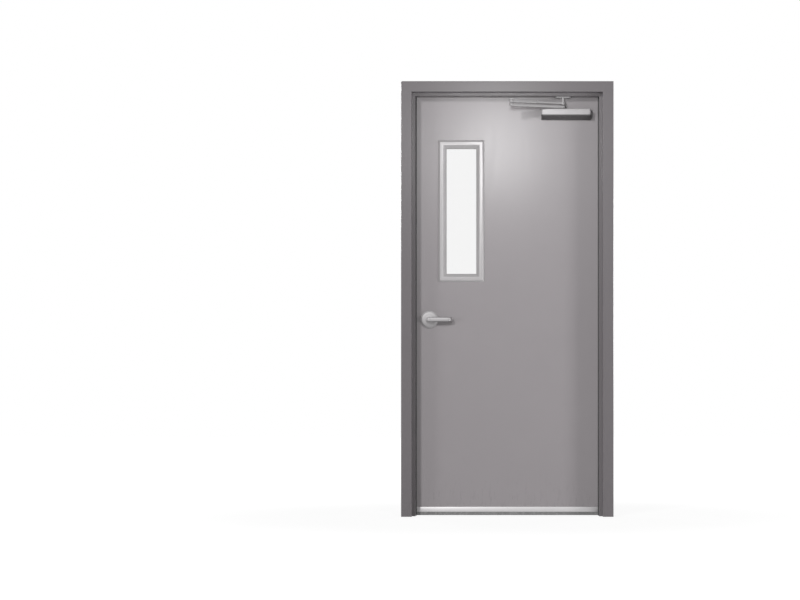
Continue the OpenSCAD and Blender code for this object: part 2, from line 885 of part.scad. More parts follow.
// A closed skin over a row of rings
module ring_skin(rings) {
    n = RING_POINTS;
    last = len(rings) - 1;
    sides = [for (i = [0:last - 1], k = [0:n - 1])
        let (j = (k + 1) % n)
        each [
            [i * n + k, i * n + j, (i + 1) * n + j],
            [i * n + k, (i + 1) * n + j, (i + 1) * n + k]
        ]];
    ends = [
        [for (k = [n - 1:-1:0]) k],
        [for (k = [0:n - 1]) last * n + k]
    ];
    polyhedron([for (ring = rings) each ring], concat(sides, ends));
}
module lever() {
    grip_y = lever_out - lever_t / 2;
    tip_x = lever_l - lever_t / 2;
    end_y = lever_out - lever_return;
    bend_rings = [for (k = [0:BEND_RINGS])
        let (w = 90 * k / BEND_RINGS)
        bar_ring(tip_x - lever_bend_r + lever_bend_r * sin(w),
            grip_y - lever_bend_r + lever_bend_r * cos(w), -w, lever_tip_w, lever_t)];
    rotate([-90, 0, 0])
        rotate_extrude()
        polygon(concat(
            [[0, 0], [neck_r, 0]],
            arc([neck_r - lever_round, lever_out - lever_round], lever_round, 0, 90),
            [[0, lever_out]]
        ));
    ring_skin(concat(
        [bar_ring(-lever_round, grip_y, 0, lever_w * END_SHARE, lever_t * END_SHARE)],
        [bar_ring(0, grip_y, 0, lever_w, lever_t)],
        bend_rings,
        [bar_ring(tip_x, end_y + lever_round, -90, return_w, lever_t)],
        [bar_ring(tip_x, end_y, -90, return_w * END_SHARE, lever_t * END_SHARE)]
    ));
}
module push_lever() {
    color("#bcbcbe") on_side(true) lever();
}
module pull_lever() {
    color("#bcbcbe") on_side(false) lever();
}
spindle_half = 4;
module lever_spindle() {
    color("#9a9a9c")
    block([lock_x - spindle_half, door_push_y, lock_z - spindle_half],
        [lock_x + spindle_half, door_pull_y, lock_z + spindle_half]);
}

// Closer cover: an upright front over a facet that slopes back to the door
cover_edge = 3;
cover_corner = 5;
// The hollow, drawn with the wall's thickness, is open towards the door
module cover_profile(wall) {
    offset(delta = -wall)
        polygon([
            [-2 * wall, 0], [closer_foot, 0], [closer_d, closer_h - closer_face_h],
            [closer_d, closer_h - cover_edge], [closer_d - cover_edge, closer_h],
            [-2 * wall, closer_h]
        ]);
}
// The cover's outer block, or its hollow when shrunk by a wall
module cover_block(wall) {
    x0 = closer_end_x - closer_l + wall;
    x1 = closer_end_x - wall;
    front_y = door_push_y - closer_d + wall;
    intersection() {
        translate([0, door_push_y, closer_bottom])
            along_x(x0, x1) mirror([1, 0, 0]) cover_profile(wall);
        linear_extrude(height = closer_top + past)
            polygon([
                [x0, door_push_y + 2 * cover_t], [x1, door_push_y + 2 * cover_t],
                [x1, front_y + cover_corner], [x1 - cover_corner, front_y],
                [x0 + cover_corner, front_y], [x0, front_y + cover_corner]
            ]);
    }
}
pinion_clear = 5;
module closer_cover() {
    color("#c9c7c9")
    difference() {
        cover_block(0);
        cover_block(cover_t);
        translate([pinion_x, pinion_y, closer_top - 2 * cover_t])
            cylinder(r = pinion_r + pinion_clear, h = 3 * cover_t);
    }
}

// Closer body: a cast tube with end plugs, a foot and the pinion's boss
tube_r = 17;
plug_r = 13;
plug_h = 4;
body_clear = 8;
foot_half_h = 13;
boss_h = 33;
boss_end_clear = 1;
module closer_body() {
    x0 = closer_end_x - closer_l + body_clear;
    x1 = closer_end_x - body_clear;
    mid_z = closer_top - 2 * cover_t - tube_r;
    color("#8e8e90")
    difference() {
        union() {
            along_x(x0 + plug_h, x1 - plug_h)
                translate([pinion_y, mid_z]) circle(r = tube_r);
            along_x(x0, x1) translate([pinion_y, mid_z]) circle(r = plug_r);
            block([x0 + plug_h, pinion_y, mid_z - foot_half_h],
                [x1 - plug_h, door_push_y, mid_z + foot_half_h]);
            translate([pinion_x, pinion_y, closer_top - cover_t - boss_end_clear - boss_h])
                cylinder(r = pinion_r + pinion_clear, h = boss_h);
        }
        translate([pinion_x, pinion_y, closer_bottom])
            cylinder(r = pinion_r + fit_gap, h = closer_h);
    }
}

// Pinion shaft, which turns with the main arm
pinion_top_h = 2;
module closer_pinion() {
    low = closer_bottom + closer_h - closer_face_h;
    color("#9a9a9c")
    translate([pinion_x, pinion_y, low]) cylinder(r = pinion_r, h = main_arm_z - low);
}

// Main arm: a tapered forging with a boss over the pinion and the elbow's stud
stud_r = 3.5;
eye_r = 8.2;
cap_r = 12;
cap_h = 3;
arm_boss_over = 2;
forearm_boss_r = 11.5;
module main_arm() {
    top_z = main_arm_z + main_arm_t;
    color("#b9b9bb") at_pinion() {
        hull() {
            translate([0, 0, main_arm_z]) cylinder(r = arm_w / 2, h = main_arm_t, $fn = 32);
            translate([arm_length, 0, main_arm_z])
                cylinder(r = arm_tip_w / 2, h = main_arm_t, $fn = 32);
        }
        translate([0, 0, main_arm_z])
            cylinder(r = arm_w / 2 + arm_boss_over, h = main_arm_t);
        translate([0, 0, top_z - join]) cylinder(r = pinion_r, h = pinion_top_h);
        translate([arm_length, 0, main_arm_z])
            cylinder(r = arm_tip_w / 2 + arm_boss_over, h = main_arm_t);
        translate([arm_length, 0, top_z - join])
            cylinder(r = stud_r, h = forearm_top - top_z + head_gap + 2 * join);
        translate([arm_length, 0, forearm_top + head_gap]) cylinder(r = cap_r, h = cap_h);
    }
}

// Forearm: a flat rod that is set to length once in the elbow's sleeve
rod_w = 13;
rod_t = 8;
rod_in = 40;
rod_z = forearm_z + (forearm_t - rod_t) / 2;
module forearm_sleeve() {
    end_x = arm_length - sleeve_length;
    color("#b9b9bb") at_pinion() difference() {
        union() {
            translate([arm_length, 0, forearm_z]) cylinder(r = forearm_boss_r, h = forearm_t);
            block([end_x, -sleeve_w / 2, forearm_z], [arm_length, sleeve_w / 2, forearm_top]);
        }
        translate([arm_length, 0, forearm_z - past]) cylinder(r = eye_r, h = forearm_t + 2 * past);
        block([end_x - past, -rod_w / 2 - fit_gap, rod_z - fit_gap],
            [end_x + rod_in + fit_gap, rod_w / 2 + fit_gap, rod_z + rod_t + fit_gap]);
    }
}
module forearm_rod() {
    color("#aeaeb0") at_pinion() difference() {
        union() {
            translate([0, 0, forearm_z]) cylinder(r = forearm_boss_r, h = forearm_t);
            block([0, -rod_w / 2, rod_z],
                [arm_length - sleeve_length + rod_in, rod_w / 2, rod_z + rod_t]);
        }
        translate([0, 0, forearm_z - past]) cylinder(r = pivot_r + fit_gap, h = forearm_t + 2 * past);
    }
}

// Sweep across the foot of the push face, between the stops: a drawn holder
// grips the strip's thick head
sweep_end_gap = 5;
sweep_x0 = strike_x + stop_h + sweep_end_gap;
sweep_x1 = hinge_x - stop_h - sweep_end_gap;
sweep_mid_y = door_push_y - sweep_t / 2;
sweep_bevel = 1.5;
lip_h = 4;
groove_h = 6;
groove_over = 0.8;
// The strip's section, or the groove for it when drawn with some play
module strip_section(play, foot_z) {
    neck = strip_t / 2 + play;
    thick = neck + groove_over;
    polygon([
        [-neck, foot_z], [neck, foot_z],
        [neck, door_bottom + lip_h - play], [thick, door_bottom + lip_h - play],
        [thick, door_bottom + lip_h + groove_h + play],
        [-thick, door_bottom + lip_h + groove_h + play],
        [-thick, door_bottom + lip_h - play], [-neck, door_bottom + lip_h - play]
    ]);
}
module sweep_holder() {
    front_y = door_push_y - sweep_t;
    top_z = door_bottom + sweep_h;
    color("#d2d2d4")
    difference() {
        along_x(sweep_x0, sweep_x1)
            polygon([
                [door_push_y, door_bottom], [door_push_y, top_z],
                [front_y + sweep_bevel, top_z], [front_y, top_z - sweep_bevel],
                [front_y, door_bottom]
            ]);
        along_x(sweep_x0 - past, sweep_x1 + past)
            translate([sweep_mid_y, 0]) strip_section(fit_gap, door_bottom - past);
    }
}
module sweep_strip() {
    color("#4a4a4c")
    along_x(sweep_x0, sweep_x1) translate([sweep_mid_y, 0]) strip_section(0, sweep_gap);
}

head();
strike_jamb();
hinge_jamb();
strike_plate();
strike_box();
silencers();
top_hinge_frame_leaf();
middle_hinge_frame_leaf();
bottom_hinge_frame_leaf();
hinge_pins();
jamb_hinge_plates();
strike_jamb_anchors();
hinge_jamb_anchors();
strike_floor_anchor();
hinge_floor_anchor();
closer_shoe();
head_closer_plate();
push_skin();
pull_skin();
door_core();
top_channel();
bottom_channel();
push_lite_frame();
pull_lite_frame();
lite_glass();
glazing_tape();
lock_chassis();
latch_front();
latch_bolt();
push_rose();
pull_rose();
top_hinge_door_leaf();
middle_hinge_door_leaf();
bottom_hinge_door_leaf();
door_hinge_plates();
closer_body();
closer_cover();
sweep_holder();
sweep_strip();
push_lever();
pull_lever();
lever_spindle();
closer_pinion();
main_arm();
forearm_sleeve();
forearm_rod();
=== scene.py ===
# %% [markdown]
# # A security door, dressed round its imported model
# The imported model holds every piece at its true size. This lesson adds what a camera sees on top
# of it: enamel, brushed metal, screws, softened edges, light and a viewpoint. Nothing here moves
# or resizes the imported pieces.

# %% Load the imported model
import json
import math

import bpy
from mathutils import Matrix, Vector


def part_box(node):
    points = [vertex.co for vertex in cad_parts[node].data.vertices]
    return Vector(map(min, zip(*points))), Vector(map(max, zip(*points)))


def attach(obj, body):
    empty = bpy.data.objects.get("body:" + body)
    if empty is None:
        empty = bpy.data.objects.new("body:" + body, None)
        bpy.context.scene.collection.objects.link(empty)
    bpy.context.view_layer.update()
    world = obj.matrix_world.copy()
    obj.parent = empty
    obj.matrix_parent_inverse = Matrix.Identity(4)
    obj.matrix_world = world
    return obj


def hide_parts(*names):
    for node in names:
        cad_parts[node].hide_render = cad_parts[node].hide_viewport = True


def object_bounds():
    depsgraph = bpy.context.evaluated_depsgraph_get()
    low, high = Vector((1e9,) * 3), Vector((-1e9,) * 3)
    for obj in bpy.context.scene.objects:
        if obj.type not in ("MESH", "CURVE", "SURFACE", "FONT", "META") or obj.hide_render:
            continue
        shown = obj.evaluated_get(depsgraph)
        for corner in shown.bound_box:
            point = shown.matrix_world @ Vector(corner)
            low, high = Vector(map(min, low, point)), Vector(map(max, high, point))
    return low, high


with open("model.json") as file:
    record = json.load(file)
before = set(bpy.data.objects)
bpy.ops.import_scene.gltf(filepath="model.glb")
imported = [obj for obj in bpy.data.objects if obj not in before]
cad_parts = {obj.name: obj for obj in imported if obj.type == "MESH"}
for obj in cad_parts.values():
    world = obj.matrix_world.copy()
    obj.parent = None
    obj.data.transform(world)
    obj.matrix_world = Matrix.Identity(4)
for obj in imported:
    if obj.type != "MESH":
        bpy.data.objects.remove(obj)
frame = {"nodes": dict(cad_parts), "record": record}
NODES = frame["nodes"]
cad_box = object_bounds()
print("packed model:", len(NODES), "nodes, from", cad_box[0], "to", cad_box[1])

MM = 0.001

# %% [markdown]
# ## The camera
# A product shot of a door is taken level and from well back, so that its upright edges stay
# parallel and the closer's arms look flat. The lens looks straight at the door's middle line from
# a little under the lock, and the door sits off the middle of the picture, which is what the lens
# shift is for.

# %% Camera
PHOTO_W = 800
PHOTO_H = 600
EYE_PX = (507.3, 374.6)
M_PER_PX = 4.78e-3
CAMERA_AWAY = 12.0
CAMERA_Z = 0.68
SENSOR = 36

door_mid_x = (cad_box[0].x + cad_box[1].x) / 2
front_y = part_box("hinge_jamb")[0].y
camera_data = bpy.data.cameras.new("camera")
camera_data.sensor_width = SENSOR
camera_data.lens = SENSOR * CAMERA_AWAY / (PHOTO_W * M_PER_PX)
camera_data.shift_x = (PHOTO_W / 2 - EYE_PX[0]) / PHOTO_W
camera_data.shift_y = (EYE_PX[1] - PHOTO_H / 2) / PHOTO_W
camera = bpy.data.objects.new("camera", camera_data)
camera.location = (door_mid_x, front_y - CAMERA_AWAY, CAMERA_Z)
camera.rotation_euler = (math.radians(90), 0, 0)
bpy.context.scene.collection.objects.link(camera)
bpy.context.scene.camera = camera
bpy.context.scene.view_settings.view_transform = "Standard"
print("lens:", round(camera_data.lens, 1), "mm")

# %% [markdown]
# ## Light
# A distant key lamp stands high on the left. It throws the short shadows that the closer, the lever
# and the frame cast down and to the right. A narrow box above the eye shows in the enamel as the
# bright patch beside the window. Two boxes far out on the sides fill the shadows, and two behind
# the door light its pull side.

# %% Lamps


def soft_box(name, spot, aim, width, height, power):
    """A lamp at spot that faces aim, both measured from the door's foot on its middle line."""
    data = bpy.data.lights.new(name, "AREA")
    data.shape = "RECTANGLE"
    data.size = width
    data.size_y = height
    data.energy = power
    lamp = bpy.data.objects.new(name, data)
    foot = Vector((door_mid_x, 0, 0))
    lamp.location = foot + Vector(spot)
    lamp.rotation_euler = (Vector(aim) - Vector(spot)).to_track_quat("-Z", "Y").to_euler()
    lamp.visible_camera = False
    lamp.visible_transmission = False
    bpy.context.scene.collection.objects.link(lamp)
    print(name, "at", spot, power, "W")


def far_key(way, spread, strength):
    """A lamp so far away that its light arrives as parallel rays."""
    data = bpy.data.lights.new("key", "SUN")
    data.angle = math.radians(spread)
    data.energy = strength
    lamp = bpy.data.objects.new("key", data)
    lamp.rotation_euler = Vector(way).to_track_quat("-Z", "Y").to_euler()
    bpy.context.scene.collection.objects.link(lamp)
    print("key lamp:", strength, "W per square metre")


KEY_WAY = (0.42, 1.0, -0.36)
KEY_SPREAD = 5
KEY_STRENGTH = 1.2
LAMPS = (
    ("top_box", (-0.066, -2.07, 1.965), (0.0, 0, 1.7), 0.21, 0.28, 12.7),
    ("far_left_box", (-3.4, -2.4, 0.9), (0.0, 0, 0.8), 0.9, 0.9, 24),
    ("far_right_box", (3.4, -2.1, 0.9), (0.0, 0, 0.8), 0.9, 0.9, 55),
    ("back_left_box", (-2.4, 4.2, 2.2), (0.0, 0, 1.0), 1.2, 1.2, 85),
    ("back_right_box", (2.6, 3.6, 1.2), (0.0, 0, 1.0), 1.2, 1.2, 60),
)
for lamp_row in LAMPS:
    soft_box(*lamp_row)
far_key(KEY_WAY, KEY_SPREAD, KEY_STRENGTH)

# %% [markdown]
# ## Shader maths
# A finish is a small formula over the surface. Wrapping a shader socket in a class with the usual
# operators lets the formula be written as one, and a single method adds every other node.

# %% Formula helpers


class Link:
    """An output socket that can be used in a formula."""

    def __init__(self, finish, socket):
        self.finish = finish
        self.socket = socket

    def maths(self, operation, first, second):
        return self.finish.node("Math", {"operation": operation}, {0: first, 1: second})

    def __add__(self, other):
        return self.maths("ADD", self, other)

    def __radd__(self, other):
        return self.maths("ADD", other, self)

    def __sub__(self, other):
        return self.maths("SUBTRACT", self, other)

    def __rsub__(self, other):
        return self.maths("SUBTRACT", other, self)

    def __mul__(self, other):
        return self.maths("MULTIPLY", self, other)

    def __rmul__(self, other):
        return self.maths("MULTIPLY", other, self)

    def above(self, low, high):
        """0 where the value is under low, 1 over high, and smooth between."""
        settings = {"interpolation_type": "SMOOTHSTEP"}
        return self.finish.node("MapRange", settings, {0: self, 1: low, 2: high})


class Nodes:
    """The node tree of a material or of the world."""

    def __init__(self, owner):
        owner.use_nodes = True
        self.tree = owner.node_tree
        self.tree.nodes.clear()

    def node(self, kind, settings=None, sockets=None, out=0):
        """Adds one node, sets it up and returns the named or numbered output."""
        node = self.tree.nodes.new("ShaderNode" + kind)
        for key, value in (settings or {}).items():
            setattr(node, key, value)
        for key, value in (sockets or {}).items():
            if isinstance(value, Link):
                self.tree.links.new(value.socket, node.inputs[key])
            else:
                node.inputs[key].default_value = value
        return Link(self, node.outputs[out]) if node.outputs else None


class Finish(Nodes):
    """One material, built up from nodes."""

    def __init__(self, name):
        self.material = bpy.data.materials.new(name + "_finish")
        super().__init__(self.material)
        self.place = self.node("TexCoord", out="Object")

    def stretched(self, scale):
        return self.node("Mapping", None, {"Vector": self.place, "Scale": scale})

    def noise(self, scale, detail=2.0, place=None, rough=0.5):
        sockets = {"Vector": place or self.place, "Scale": scale, "Detail": detail, "Roughness": rough}
        return self.node("TexNoise", None, sockets)

    def mix(self, share, first, second):
        return self.node("Mix", {"data_type": "RGBA"}, {0: share, 6: first, 7: second}, out=2)

    def bump(self, height, distance, strength=1.0):
        sockets = {"Height": height, "Distance": distance, "Strength": strength}
        return self.node("Bump", None, sockets)

    def axis(self, letter):
        return self.node("SeparateXYZ", None, {0: self.place}, out=letter)

    def surface(self, **sockets):
        """Ends the finish with its Principled shader."""
        names = {key.replace("_", " "): value for key, value in sockets.items()}
        self.node("OutputMaterial", None, {"Surface": self.node("BsdfPrincipled", None, names)})
        return self.material


def grey(value, warm=0.0):
    """A nearly neutral colour, given as a linear value."""
    return (value * (1 + warm), value, value * (1 + warm / 2), 1.0)


def shade(colour, factor):
    return tuple(channel * factor for channel in colour[:3]) + (1.0,)


# %% [markdown]
# ## Enamel
# The frame and the door are sprayed with semi-gloss enamel. Sprayed paint isn't dead flat: it has
# a fine orange-peel surface, its tone drifts a little over a hand's width, and cleaning leaves
# faint upright smears that show only in the gloss. Near the floor it is slightly scuffed.

# %% Enamel
PEEL_SCALE = 900
PEEL_DEPTH = 0.00004
SCUFF_TOP = 0.22
SPECK_SCALE = 420
SMEAR_STRETCH = (34, 34, 3.2)
SCUFF_STRETCH = (70, 70, 14)


def enamel(name, colour, roughness):
    finish = Finish(name)
    drift = finish.noise(1.7, detail=3)
    cloud = finish.noise(9, detail=2)
    smears = finish.noise(1, detail=4, place=finish.stretched(SMEAR_STRETCH))
    peel = finish.noise(PEEL_SCALE, detail=1)
    specks = finish.noise(SPECK_SCALE, detail=3, rough=0.7).above(0.69, 0.76)
    low = 1 - finish.axis("Z").above(0.02, SCUFF_TOP)
    rubbed = finish.noise(1, detail=5, place=finish.stretched(SCUFF_STRETCH), rough=0.7)
    scuffs = low * rubbed.above(0.5, 0.66)
    tone = finish.mix(drift * 0.6 + cloud * 0.4, shade(colour, 0.955), shade(colour, 1.045))
    tone = finish.mix(scuffs * 0.35, tone, shade(colour, 0.62))
    tone = finish.mix(specks * 0.25, tone, shade(colour, 0.8))
    gloss = roughness - 0.025 + smears * 0.05 + scuffs * 0.12
    normal = finish.bump(peel, PEEL_DEPTH, 0.5)
    return finish.surface(Base_Color=tone, Roughness=gloss, Normal=normal, Specular_IOR_Level=0.5)


frame_paint = enamel("frame_paint", (0.14, 0.128, 0.135, 1.0), 0.31)
door_paint = enamel("door_paint", (0.29, 0.27, 0.28, 1.0), 0.3)
print("enamel:", frame_paint.name, door_paint.name)

# %% [markdown]
# ## Metals
# Satin steel is ground in one direction, so its noise is drawn out along that direction. Turned trim is
# really ground in circles; here the lock's trim gets finer lines drawn straight across the door. The
# sweep's aluminium keeps the long lines of the die it was drawn through. Zinc on the hidden steel
# freezes into flat spangles, which a Voronoi pattern gives.

# %% Metals
EDGE_FADE = 1 * MM
PAINTED_SHADE_H = 22 * MM
HAIR_RATIO = 40
HAIR_DEPTH = 0.00003
SPANGLE_SCALE = 75.0
FLAKE_SCALE = 1600


def ground_metal(name, colour, roughness, along, lines=260):
    """Metal ground along one axis, 0 for X, 1 for Y and 2 for Z."""
    finish = Finish(name)
    scale = [lines, lines, lines]
    scale[along] = lines / HAIR_RATIO
    hair = finish.noise(1, detail=3, place=finish.stretched(scale), rough=0.6)
    wide = finish.noise(11, detail=2)
    tone = finish.mix(hair * 0.7 + wide * 0.3, shade(colour, 0.86), shade(colour, 1.1))
    gloss = roughness - 0.06 + hair * 0.14 + wide * 0.04
    normal = finish.bump(hair, HAIR_DEPTH, 0.5)
    return finish.surface(Base_Color=tone, Roughness=gloss, Metallic=1.0, Normal=normal)


def zinc(name, colour):
    finish = Finish(name)
    sockets = {"Vector": finish.place, "Scale": SPANGLE_SCALE}
    spangle = finish.node("TexVoronoi", None, sockets, out="Color")
    share = finish.node("SeparateColor", None, {0: spangle}, out=0)
    haze = finish.noise(30, detail=4)
    tone = finish.mix(share, shade(colour, 0.8), shade(colour, 1.15))
    gloss = 0.42 + share * 0.16 + haze * 0.1
    return finish.surface(Base_Color=tone, Roughness=gloss, Metallic=1.0)


def lacquer(name, colour, roughness, painted_shade_below=None):
    """Silver lacquer: a grey base with fine metal flakes, with painted shade that darkens it under the
    given height.
    """
    finish = Finish(name)
    flakes = finish.noise(FLAKE_SCALE, detail=1)
    cloud = finish.noise(22, detail=2)
    peel = finish.noise(700, detail=1)
    tone = finish.mix(flakes * 0.7 + cloud * 0.3, shade(colour, 0.86), shade(colour, 1.12))
    # Painted shade: under the given height the tone is darkened to about a fifth of the lacquer's
    # colour.
    if painted_shade_below:
        painted_shade = 1 - finish.axis("Z").above(painted_shade_below - EDGE_FADE, painted_shade_below)
        tone = finish.mix(painted_shade, tone, shade(colour, 0.22))
    gloss = roughness - 0.04 + flakes * 0.08
    normal = finish.bump(peel, 0.00004, 0.5)
    return finish.surface(Base_Color=tone, Roughness=gloss, Metallic=0.1, Normal=normal)


def casting(name, colour):
    finish = Finish(name)
    lumps = finish.noise(160, detail=4)
    tone = finish.mix(lumps, shade(colour, 0.75), shade(colour, 1.2))
    normal = finish.bump(lumps, 0.0003, 0.6)
    return finish.surface(Base_Color=tone, Roughness=0.55 + lumps * 0.2, Metallic=0.6, Normal=normal)


satin_steel = ground_metal("satin_steel", grey(0.37, 0.01), 0.4, 2)
lock_satin = ground_metal("lock_satin", grey(0.27, 0.03), 0.5, 0, lines=420)
sweep_aluminium = ground_metal("sweep_aluminium", grey(0.47, 0.02), 0.46, 0, lines=700)
screw_steel = ground_metal("screw_steel", grey(0.33), 0.34, 0, lines=900)
galvanised_steel = zinc("galvanised_steel", grey(0.3))
closer_paint = lacquer("closer_paint", grey(0.33, 0.03), 0.42)
# The closer cover's lower face gets painted shade, because the lamps alone don't make it dark.
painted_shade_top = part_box("closer_cover")[0].z + PAINTED_SHADE_H
cover_paint_and_shade = lacquer("cover_paint_and_shade", grey(0.41, 0.03), 0.42, painted_shade_below=painted_shade_top)
lite_paint = lacquer("lite_paint", grey(0.42, 0.03), 0.32)
closer_iron = casting("closer_iron", grey(0.22))
print("metals:", satin_steel.name, lock_satin.name, sweep_aluminium.name, galvanised_steel.name)

# %% [markdown]
# ## Rubber, glass and honeycomb
# Rubber is matt and slightly dusty. The window is a plain pane, clear enough for the white room
# behind to show through it. The core is kraft-paper honeycomb, hidden but finished.

# %% Rubber, glass and honeycomb


def rubber(name, colour):
    finish = Finish(name)
    dust = finish.noise(60, detail=4).above(0.45, 0.75)
    grain = finish.noise(1200, detail=1)
    tone = finish.mix(dust * 0.5, colour, shade(colour, 1.9))
    normal = finish.bump(grain, 0.00005, 0.6)
    return finish.surface(Base_Color=tone, Roughness=0.62 + dust * 0.2, Normal=normal)


def pane(name):
    finish = Finish(name)
    film = finish.noise(6, detail=3)
    tone = finish.mix(film * 0.3, (0.9, 0.9, 0.9, 1.0), (0.915, 0.915, 0.915, 1.0))
    return finish.surface(Base_Color=tone, Roughness=0.0, Transmission_Weight=1.0, IOR=1.5)


def honeycomb_paper(name, colour):
    finish = Finish(name)
    sockets = {"Vector": finish.place, "Scale": 70.0, "Randomness": 0.15}
    cells = finish.node("TexVoronoi", {"feature": "DISTANCE_TO_EDGE"}, sockets)
    wall = 1 - cells.above(0.02, 0.07)
    fibre = finish.noise(300, detail=4)
    tone = finish.mix(wall * 0.8 + fibre * 0.2, shade(colour, 0.55), colour)
    normal = finish.bump(wall, 0.002, 0.8)
    return finish.surface(Base_Color=tone, Roughness=0.85 + fibre * 0.1, Normal=normal)


black_rubber = rubber("black_rubber", grey(0.03))
# This nearly black rubber is a painted shadow: its strips draw the shade in the gap beside the shut
# door.
shadow_line_rubber = rubber("shadow_line_rubber", grey(0.07))
strip_rubber = rubber("strip_rubber", grey(0.17))
glass = pane("glass")
honeycomb = honeycomb_paper("honeycomb", (0.42, 0.33, 0.2, 1.0))
FINISHES = {
    "frame_paint": frame_paint,
    "door_paint": door_paint,
    "satin_steel": satin_steel,
    "lock_satin": lock_satin,
    "sweep_aluminium": sweep_aluminium,
    "galvanised_steel": galvanised_steel,
    "closer_paint": closer_paint,
    "closer_iron": closer_iron,
    "black_rubber": black_rubber,
    "glass": glass,
    "honeycomb": honeycomb,
}
OWN_FINISH = {
    "push_lite_frame": lite_paint,
    "pull_lite_frame": lite_paint,
    "closer_cover": cover_paint_and_shade,
    "sweep_strip": strip_rubber,
}
for row in frame["record"]["subparts"]:
    for place in NODES[row["node"]].material_slots:
        place.material = OWN_FINISH.get(row["node"], FINISHES[row["material_slot"]])

# %% [markdown]
# ## Softened edges
# No real edge is perfectly sharp: a forging, a casting or a drawn bar catches a thin line of light
# along each edge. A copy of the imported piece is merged, its flat facets are joined, and a narrow
# bevel goes round the sharp edges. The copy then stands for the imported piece.

# %% Softened copies
MERGE_GAP = 0.01 * MM
FLAT_ANGLE = 0.6
SHARP_ANGLE = 32
SMOOTH_ANGLE = 34
SLOT_OF = {row["node"]: row["material_slot"] for row in frame["record"]["subparts"]}
BODIES = frame["record"]["behaviour"]["bodies"]
BODY_OF = {node: body for body, nodes in BODIES.items() for node in nodes}


def select_only(piece):
    bpy.ops.object.select_all(action="DESELECT")
    piece.select_set(True)
    bpy.context.view_layer.objects.active = piece


def add_modifier(piece, kind, **settings):
    modifier = piece.modifiers.new(kind.lower(), kind)
    for key, value in settings.items():
        setattr(modifier, key, value)
    bpy.ops.object.modifier_apply(modifier=modifier.name)


def stand_for(piece, node):
    """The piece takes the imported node's body, slot and finish, and is shown in its place."""
    piece.data.materials.clear()
    piece.data.materials.append(OWN_FINISH.get(node, FINISHES[SLOT_OF[node]]))
    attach(piece, BODY_OF[node])
    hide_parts(node)


def soften(node, width, steps=2):
    mesh = NODES[node].data.copy()
    piece = bpy.data.objects.new(node + "_soft", mesh)
    bpy.context.scene.collection.objects.link(piece)
    select_only(piece)
    bpy.ops.mesh.customdata_custom_splitnormals_clear()
    bpy.ops.object.mode_set(mode="EDIT")
    bpy.ops.mesh.select_all(action="SELECT")
    bpy.ops.mesh.remove_doubles(threshold=MERGE_GAP)
    bpy.ops.mesh.dissolve_limited(angle_limit=math.radians(FLAT_ANGLE))
    bpy.ops.object.mode_set(mode="OBJECT")
    add_modifier(
        piece, "BEVEL", width=width, segments=steps, limit_method="ANGLE",
        angle_limit=math.radians(SHARP_ANGLE), use_clamp_overlap=True,
    )
    bpy.ops.object.shade_smooth_by_angle(angle=math.radians(SMOOTH_ANGLE))
    stand_for(piece, node)
    return piece


SOFT_EDGES = {
    "closer_cover": 1.2 * MM,
    "main_arm": 1.0 * MM,
    "forearm_sleeve": 0.8 * MM,
    "forearm_rod": 0.8 * MM,
    "closer_shoe": 0.7 * MM,
    "sweep_holder": 0.3 * MM,
    "strike_plate": 0.3 * MM,
    "latch_front": 0.3 * MM,
    "latch_bolt": 0.5 * MM,
    "push_lite_frame": 0.8 * MM,
    "pull_lite_frame": 0.8 * MM,
}
for node, width in SOFT_EDGES.items():
    soft = soften(node, width)
    print(soft.name, len(soft.data.polygons), "faces")

# %% [markdown]
# ## Screws
# A countersunk screw is a short, slightly domed cylinder with a cross driven into it. It is
# modelled once: a cylinder is bevelled round its top and two crossed bars are cut out of it. Every
# screw on the door is then a copy with its own mesh.

# %% One countersunk screw
SCREW_SIDES = 20
CUT_SHARE = 0.62
CUT_WIDTH = 0.2


def cross_screw(radius, height):
    bpy.ops.object.select_all(action="DESELECT")
    bpy.ops.mesh.primitive_cylinder_add(
        vertices=SCREW_SIDES, radius=radius, depth=height, location=(0, 0, height / 2)
    )
    screw = bpy.context.active_object
    bpy.ops.object.transform_apply(location=True)
    add_modifier(
        screw, "BEVEL", width=height * 0.35, segments=2, limit_method="ANGLE",
        angle_limit=math.radians(60),
    )
    for turn in (0, 90):
        bpy.ops.mesh.primitive_cube_add(size=1, location=(0, 0, height))
        bar = bpy.context.active_object
        bar.scale = (2 * CUT_SHARE * radius, CUT_WIDTH * 2 * radius, height)
        bar.rotation_euler = (0, 0, math.radians(turn))
        select_only(screw)
        add_modifier(screw, "BOOLEAN", operation="DIFFERENCE", object=bar, solver="EXACT")
        bpy.data.objects.remove(bar)
    select_only(screw)
    bpy.ops.object.shade_smooth_by_angle(angle=math.radians(30))
    return screw


def row_of(source, name, body, slot, spots):
    """Copies the source to every (place, direction) and joins the copies into one piece."""
    copies = []
    for index, (spot, way) in enumerate(spots):
        copy = bpy.data.objects.new(name if index == 0 else "copy", source.data.copy())
        turn = Vector((0, 0, 1)).rotation_difference(Vector(way)).to_matrix().to_4x4()
        copy.data.transform(Matrix.Translation(Vector(spot)) @ turn)
        bpy.context.scene.collection.objects.link(copy)
        copies.append(copy)
    bpy.ops.object.select_all(action="DESELECT")
    for copy in copies:
        copy.select_set(True)
    bpy.context.view_layer.objects.active = copies[0]
    if len(copies) > 1:
        bpy.ops.object.join()
    piece = bpy.context.view_layer.objects.active
    piece.data.materials.clear()
    piece.data.materials.append(screw_steel if slot == "satin_steel" else FINISHES[slot])
    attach(piece, body)
    print(name, len(spots), "copies,", len(piece.data.polygons), "faces")


# %% [markdown]
# Each butt hinge has four screws in each leaf, in a zigzag so that they don't split the plate
# behind. The strike and the latch front have two each.

